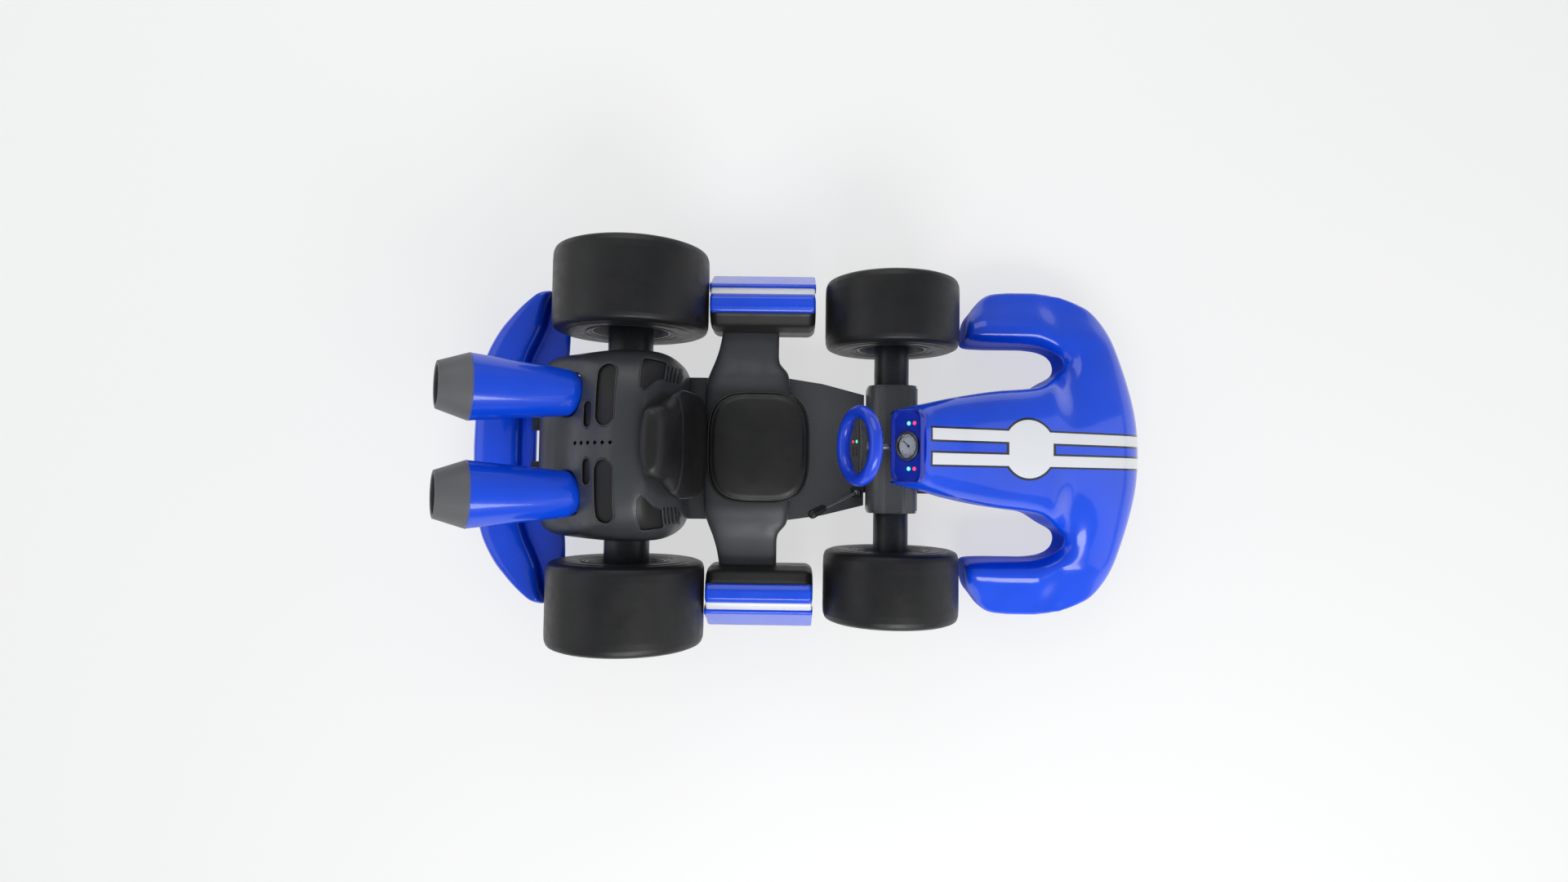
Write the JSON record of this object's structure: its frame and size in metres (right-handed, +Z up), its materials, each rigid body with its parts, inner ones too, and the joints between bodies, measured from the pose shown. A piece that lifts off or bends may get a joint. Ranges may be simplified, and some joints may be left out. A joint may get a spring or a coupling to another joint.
{
  "type": "kart chassis",
  "caption": "Single-seat kart chassis with blue bodywork, black padded seat, slick tyres, working steering, pedals and hand lever, and a rear engine bay with upswept exhausts.",
  "frame": {"origin": "on the ground, below the middle of the overall box", "axes": "+X forwards, +Y to the driver's left, +Z up; the tyres stand on Z = 0"},
  "size_m": [2.4434, 1.4, 0.722],
  "materials": {
    "painted_frame": "black powder coat, satin",
    "carbon": "carbon-fibre laminate with a diagonal twill weave",
    "zinc_steel": "zinc-plated steel",
    "steel": "satin steel",
    "grey_plastic": "dark grey satin moulding",
    "blue_body": "vivid blue gloss with clear coat",
    "gauge_rim": "dark anodised bezel with a pale dial",
    "clear_lens": "clear instrument glass",
    "green_lamp": "translucent green, lit",
    "red_lamp": "translucent red, lit",
    "black_plastic": "black satin moulding",
    "white_trim": "white gloss",
    "seat_leather": "black vinyl, fine grain",
    "cast_aluminium": "dark cast alloy",
    "tank_plastic": "natural translucent moulding",
    "tip_metal": "heat-resistant grey coating",
    "caliper_red": "red anodised",
    "chain_steel": "oiled dark steel",
    "tyre": "slick black rubber",
    "grip_rubber": "black rubber",
    "needle_black": "matt black"
  },
  "bodies": {
    "chassis": {"frame_rails": "painted_frame", "cross_tubes": "painted_frame", "floor_pan": "carbon", "footwell_pan": "carbon", "floor_bolts": "zinc_steel", "front_housing": "carbon", "front_axle_tubes": "painted_frame", "kingpins": "zinc_steel", "steering_gearbox": "grey_plastic", "nose_fairing": "blue_body", "dash_panel": "blue_body", "gauge_body": "gauge_rim", "gauge_lens": "clear_lens", "lamps_green": "green_lamp", "lamps_red": "red_lamp", "saddle_beam": "grey_plastic", "pod_bodies": "black_plastic", "pod_panels": "blue_body", "pod_stripes": "white_trim", "seat_cushion": "seat_leather", "backrest": "seat_leather", "engine_cover": "grey_plastic", "vent_grilles": "black_plastic", "engine_block": "cast_aluminium", "fuel_tank": "tank_plastic", "exhaust_manifold": "steel", "exhaust_cones": "blue_body", "exhaust_tips": "tip_metal", "rear_bumper": "blue_body", "bumper_brackets": "painted_frame", "rear_axle_tubes": "painted_frame", "rear_bearings": "zinc_steel", "brake_caliper": "caliper_red", "drive_chain": "chain_steel", "pedal_bracket": "painted_frame", "lever_base": "painted_frame"},
    "steering": {"steering_rim": "blue_body", "steering_hub": "grey_plastic", "steering_column": "steel"},
    "red_push": {"button_red": "red_lamp"},
    "green_push": {"button_green": "green_lamp"},
    "pinion": {"pinion_shaft": "zinc_steel"},
    "rack": {"steering_rack": "zinc_steel"},
    "left_knuckle": {"knuckle_left": "zinc_steel"},
    "right_knuckle": {"knuckle_right": "zinc_steel"},
    "front_left_wheel": {"front_tyre_left": "tyre", "front_rim_left": "cast_aluminium"},
    "front_right_wheel": {"front_tyre_right": "tyre", "front_rim_right": "cast_aluminium"},
    "rear_drive": {"rear_axle": "zinc_steel", "rear_tyres": "tyre", "rear_rims": "cast_aluminium", "axle_sprocket": "chain_steel", "brake_disc": "zinc_steel"},
    "clutch": {"clutch_drum": "zinc_steel"},
    "accelerator": {"accelerator_pedal": "steel"},
    "brake": {"brake_pedal": "steel"},
    "lever": {"hand_lever": "steel", "lever_grip": "grip_rubber"},
    "needle": {"gauge_needle": "needle_black"}
  },
  "joints": [
    {"name": "steering_turn", "type": "hinge", "parent": "chassis", "child": "steering", "pos_m": [0.165, 0, 0.575], "axis": [-0.9135, 0, 0.4067], "range_deg": [-90, 90]},
    {"name": "red_press", "type": "slide", "parent": "steering", "child": "red_push", "axis": [0.9135, 0, -0.4067], "range_m": [0, 0.002], "stiffness_N_per_m": 400, "springref_m": -0.002},
    {"name": "green_press", "type": "slide", "parent": "steering", "child": "green_push", "axis": [0.9135, 0, -0.4067], "range_m": [0, 0.002], "stiffness_N_per_m": 400, "springref_m": -0.002},
    {"name": "pinion_turn", "type": "hinge", "parent": "chassis", "child": "pinion", "pos_m": [0.335, 0, 0.4], "axis": [0, 0, 1], "range_deg": [-91, 91]},
    {"name": "rack_slide", "type": "slide", "parent": "chassis", "child": "rack", "axis": [0, 1, 0], "range_m": [-0.0128, 0.0128]},
    {"name": "left_kingpin", "type": "hinge", "parent": "chassis", "child": "left_knuckle", "pos_m": [0.308, 0.483, 0.241], "axis": [0, 0, 1], "range_deg": [-18.2, 18.2]},
    {"name": "right_kingpin", "type": "hinge", "parent": "chassis", "child": "right_knuckle", "pos_m": [0.308, -0.483, 0.241], "axis": [0, 0, 1], "range_deg": [-18.2, 18.2]},
    {"name": "front_left_spin", "type": "hinge", "parent": "left_knuckle", "child": "front_left_wheel", "pos_m": [0.308, 0.483, 0.241], "axis": [0, 1, 0], "continuous": true},
    {"name": "front_right_spin", "type": "hinge", "parent": "right_knuckle", "child": "front_right_wheel", "pos_m": [0.308, -0.483, 0.241], "axis": [0, 1, 0], "continuous": true},
    {"name": "rear_spin", "type": "hinge", "parent": "chassis", "child": "rear_drive", "pos_m": [-0.633, 0, 0.277], "axis": [0, 1, 0], "continuous": true},
    {"name": "clutch_spin", "type": "hinge", "parent": "chassis", "child": "clutch", "pos_m": [-0.815, -0.06, 0.262], "axis": [0, 1, 0], "continuous": true},
    {"name": "accelerator_press", "type": "hinge", "parent": "chassis", "child": "accelerator", "pos_m": [0.7, -0.08, 0.202], "axis": [0, 1, 0], "range_deg": [0, 22], "stiffness_Nm_per_rad": 4, "springref_deg": -20.05},
    {"name": "brake_press", "type": "hinge", "parent": "chassis", "child": "brake", "pos_m": [0.7, 0.08, 0.202], "axis": [0, 1, 0], "range_deg": [0, 18], "stiffness_Nm_per_rad": 8, "springref_deg": -14.32},
    {"name": "lever_pull", "type": "hinge", "parent": "chassis", "child": "lever", "pos_m": [0.189, -0.156, 0.194], "axis": [0, 1, 0], "range_deg": [0, 28]},
    {"name": "needle_swing", "type": "hinge", "parent": "chassis", "child": "needle", "pos_m": [0.31806, 0, 0.59726], "axis": [-0.7361, 0, 0.6769], "range_deg": [-100, 160]}
  ],
  "couplings": [
    {"joint": "pinion_turn", "follows": "steering_turn", "ratio": 1},
    {"joint": "rack_slide", "follows": "steering_turn", "m_per_rad": 0.008},
    {"joint": "left_kingpin", "follows": "steering_turn", "ratio": 0.2},
    {"joint": "right_kingpin", "follows": "steering_turn", "ratio": 0.2},
    {"joint": "clutch_spin", "follows": "rear_spin", "ratio": 2.5833}
  ]
}
